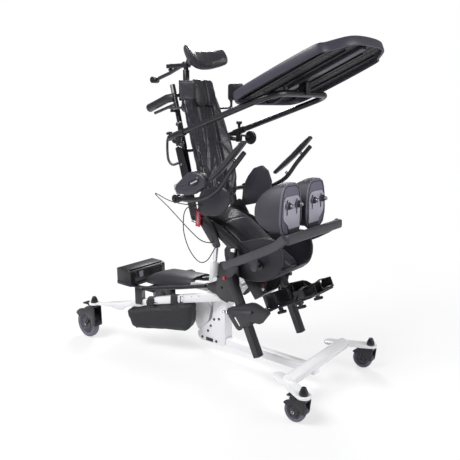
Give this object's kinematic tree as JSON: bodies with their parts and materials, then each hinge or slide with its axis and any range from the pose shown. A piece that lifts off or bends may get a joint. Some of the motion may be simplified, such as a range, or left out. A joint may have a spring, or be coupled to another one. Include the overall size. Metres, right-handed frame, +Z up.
{
  "type": "standing frame",
  "caption": "Powered standing frame: a seat that lifts and tilts on a post frame over a caster base, with back, head, arm, knee and foot supports and a raised tray",
  "frame": {"origin": "centre of the footprint on the floor", "axes": "+Z up, -Y the way the user faces, +X the user's left"},
  "size_m": [0.554, 1.2636, 1.2447],
  "materials": {
    "white_paint": "white powder coat",
    "white_tube": "white satin lacquer",
    "black_paint": "satin black powder coat",
    "black_plastic": "fine-grained black moulding",
    "grey_plastic": "dark grey moulding",
    "grey_tyre": "grey polyurethane tread on a grey hub",
    "chrome": "ground steel rod",
    "soft_black": "coated black upholstery cloth",
    "soft_grey": "dark moulded skin foam",
    "cable": "black cable sheath"
  },
  "bodies": {
    "base": {"tower": "white_paint", "front_frame": "white_paint", "rear_leg_right": "white_paint", "rear_leg_left": "white_paint", "rear_carrier": "black_paint", "battery_box": "black_plastic", "tilt_actuator": "black_plastic", "actuator_cover": "grey_plastic", "accessory_bag": "soft_black"},
    "fork_front_right": {"caster_fork_front_right": "black_plastic"},
    "wheel_front_right": {"caster_wheel_front_right": "grey_tyre"},
    "pedal_front_right": {"brake_pedal_front_right": "black_plastic"},
    "fork_front_left": {"caster_fork_front_left": "black_plastic"},
    "wheel_front_left": {"caster_wheel_front_left": "grey_tyre"},
    "pedal_front_left": {"brake_pedal_front_left": "black_plastic"},
    "fork_rear_right": {"caster_fork_rear_right": "black_plastic"},
    "wheel_rear_right": {"caster_wheel_rear_right": "grey_tyre"},
    "pedal_rear_right": {"brake_pedal_rear_right": "black_plastic"},
    "fork_rear_left": {"caster_fork_rear_left": "black_plastic"},
    "wheel_rear_left": {"caster_wheel_rear_left": "grey_tyre"},
    "pedal_rear_left": {"brake_pedal_rear_left": "black_plastic"},
    "tilt_rod": {"tilt_rod": "chrome"},
    "lift_cylinder": {"lift_cylinder": "white_tube"},
    "lift_rod": {"lift_rod": "chrome"},
    "tilt_frame": {"side_bracket_right": "black_paint", "leg_post_right": "black_paint", "side_bracket_left": "black_paint", "leg_post_left": "black_paint", "knee_support_bar": "grey_plastic"},
    "knee_pad_right": {"knee_pad_right": "soft_grey"},
    "knee_pad_left": {"knee_pad_left": "soft_grey"},
    "foot_carrier": {"post_clamp_right": "black_paint", "post_clamp_left": "black_paint"},
    "footplate": {"footplate": "black_paint", "foot_sandal_right": "black_plastic", "foot_sandal_left": "black_plastic"},
    "seat": {"seat_frame": "black_paint", "seat_cushion": "soft_black", "seat_cover": "soft_black", "control_box": "black_plastic"},
    "back_carrier": {"carrier_plate_right": "black_paint", "hip_pad_right": "soft_grey", "carrier_plate_left": "black_paint", "hip_pad_left": "soft_grey", "cable_long": "cable", "cable_short": "cable"},
    "back": {"back_frame": "black_paint", "back_cushion": "soft_black", "shoulder_pad": "soft_black"},
    "lateral_pad_right": {"lateral_pad_right": "soft_black"},
    "lateral_pad_left": {"lateral_pad_left": "soft_black"},
    "headrest_slide": {"headrest_rod": "black_paint"},
    "headrest_tilt": {"headrest_pad": "soft_black"},
    "armrest_right": {"armrest_right": "black_paint", "arm_pad_right": "soft_black", "elbow_block": "black_plastic"},
    "armrest_left": {"armrest_left": "black_paint", "arm_pad_left": "soft_black"},
    "tray_slide": {"tray_frame": "black_paint"},
    "tray_tilt": {"tray": "black_plastic"}
  },
  "joints": [
    {"name": "swivel_front_right", "type": "hinge", "parent": "base", "child": "fork_front_right", "pos_m": [-0.252, -0.5707, 0.103], "axis": [0, 0, 1], "continuous": true},
    {"name": "roll_front_right", "type": "hinge", "parent": "fork_front_right", "child": "wheel_front_right", "pos_m": [-0.252, -0.5407, 0.038], "axis": [1, 0, 0], "continuous": true},
    {"name": "brake_front_right", "type": "hinge", "parent": "fork_front_right", "child": "pedal_front_right", "pos_m": [-0.252, -0.5462, 0.0898], "axis": [-1, 0, 0], "range_deg": [0, 12]},
    {"name": "swivel_front_left", "type": "hinge", "parent": "base", "child": "fork_front_left", "pos_m": [0.252, -0.5707, 0.103], "axis": [0, 0, 1], "continuous": true},
    {"name": "roll_front_left", "type": "hinge", "parent": "fork_front_left", "child": "wheel_front_left", "pos_m": [0.252, -0.5407, 0.038], "axis": [1, 0, 0], "continuous": true},
    {"name": "brake_front_left", "type": "hinge", "parent": "fork_front_left", "child": "pedal_front_left", "pos_m": [0.252, -0.5462, 0.0898], "axis": [-1, 0, 0], "range_deg": [0, 12]},
    {"name": "swivel_rear_right", "type": "hinge", "parent": "base", "child": "fork_rear_right", "pos_m": [-0.235, 0.5163, 0.172], "axis": [0, 0, 1], "continuous": true},
    {"name": "roll_rear_right", "type": "hinge", "parent": "fork_rear_right", "child": "wheel_rear_right", "pos_m": [-0.235, 0.5683, 0.0635], "axis": [1, 0, 0], "continuous": true},
    {"name": "brake_rear_right", "type": "hinge", "parent": "fork_rear_right", "child": "pedal_rear_right", "pos_m": [-0.235, 0.5408, 0.1588], "axis": [-1, 0, 0], "range_deg": [0, 12]},
    {"name": "swivel_rear_left", "type": "hinge", "parent": "base", "child": "fork_rear_left", "pos_m": [0.235, 0.5163, 0.172], "axis": [0, 0, 1], "continuous": true},
    {"name": "roll_rear_left", "type": "hinge", "parent": "fork_rear_left", "child": "wheel_rear_left", "pos_m": [0.235, 0.5683, 0.0635], "axis": [1, 0, 0], "continuous": true},
    {"name": "brake_rear_left", "type": "hinge", "parent": "fork_rear_left", "child": "pedal_rear_left", "pos_m": [0.235, 0.5408, 0.1588], "axis": [-1, 0, 0], "range_deg": [0, 12]},
    {"name": "supine_tilt", "type": "hinge", "parent": "base", "child": "tilt_frame", "pos_m": [0, -0.0107, 0.305], "axis": [-1, 0, 0], "range_deg": [-18, 25]},
    {"name": "tilt_stroke", "type": "slide", "parent": "base", "child": "tilt_rod", "axis": [0, 0.9534, -0.3017], "range_m": [-0.0105, 0.0145]},
    {"name": "lift_swing", "type": "hinge", "parent": "base", "child": "lift_cylinder", "pos_m": [0, 0.0543, 0.098], "axis": [-1, 0, 0], "range_deg": [-9, 12.5]},
    {"name": "lift_stroke", "type": "slide", "parent": "lift_cylinder", "child": "lift_rod", "axis": [0, -0.1307, 0.9914], "range_m": [-0.018, 0.157]},
    {"name": "seat_lift", "type": "hinge", "parent": "tilt_frame", "child": "seat", "pos_m": [0, -0.2907, 0.455], "axis": [1, 0, 0], "range_deg": [-3, 30]},
    {"name": "back_follow", "type": "hinge", "parent": "seat", "child": "back_carrier", "pos_m": [0, 0.0143, 0.6], "axis": [1, 0, 0], "range_deg": [-31, 4]},
    {"name": "back_recline", "type": "hinge", "parent": "back_carrier", "child": "back", "pos_m": [0, 0.0143, 0.6], "axis": [-1, 0, 0], "range_deg": [-8, 25]},
    {"name": "headrest_height", "type": "slide", "parent": "back", "child": "headrest_slide", "axis": [0, 0, 1], "range_m": [-0.006, 0.03]},
    {"name": "headrest_angle", "type": "hinge", "parent": "headrest_slide", "child": "headrest_tilt", "pos_m": [0, 0.1373, 1.194], "axis": [1, 0, 0], "range_deg": [-15, 15]},
    {"name": "lateral_swing_right", "type": "hinge", "parent": "back", "child": "lateral_pad_right", "pos_m": [-0.1225, 0.1213, 1.012], "axis": [0, 0, -1], "range_deg": [0, 18]},
    {"name": "lateral_swing_left", "type": "hinge", "parent": "back", "child": "lateral_pad_left", "pos_m": [0.1225, 0.1213, 1.012], "axis": [0, 0, 1], "range_deg": [0, 18]},
    {"name": "armrest_lift_right", "type": "hinge", "parent": "back", "child": "armrest_right", "pos_m": [-0.213, 0.0193, 0.682], "axis": [-1, 0, 0], "range_deg": [0, 60]},
    {"name": "armrest_lift_left", "type": "hinge", "parent": "back", "child": "armrest_left", "pos_m": [0.213, 0.0193, 0.682], "axis": [-1, 0, 0], "range_deg": [0, 60]},
    {"name": "tray_depth", "type": "slide", "parent": "back", "child": "tray_slide", "axis": [0, -0.9495, 0.3138], "range_m": [-0.03, 0.05]},
    {"name": "tray_angle", "type": "hinge", "parent": "tray_slide", "child": "tray_tilt", "pos_m": [0, -0.3907, 1.057], "axis": [1, 0, 0], "range_deg": [0, 22]},
    {"name": "knee_height_right", "type": "slide", "parent": "tilt_frame", "child": "knee_pad_right", "axis": [0, 0, 1], "range_m": [-0.015, 0.012]},
    {"name": "knee_height_left", "type": "slide", "parent": "tilt_frame", "child": "knee_pad_left", "axis": [0, 0, 1], "range_m": [-0.015, 0.012]},
    {"name": "foot_height", "type": "slide", "parent": "tilt_frame", "child": "foot_carrier", "axis": [0, 0.4164, 0.9092], "range_m": [-0.05, 0]},
    {"name": "foot_angle", "type": "hinge", "parent": "foot_carrier", "child": "footplate", "pos_m": [0, -0.2827, 0.262], "axis": [1, 0, 0], "range_deg": [-8, 8]}
  ],
  "couplings": [
    {"joint": "tilt_stroke", "follows": "supine_tilt", "m_per_rad": 0.0322},
    {"joint": "lift_swing", "follows": "supine_tilt", "ratio": 0.48},
    {"joint": "lift_stroke", "follows": "seat_lift", "m_per_rad": 0.2954},
    {"joint": "back_follow", "follows": "seat_lift", "ratio": -1}
  ]
}
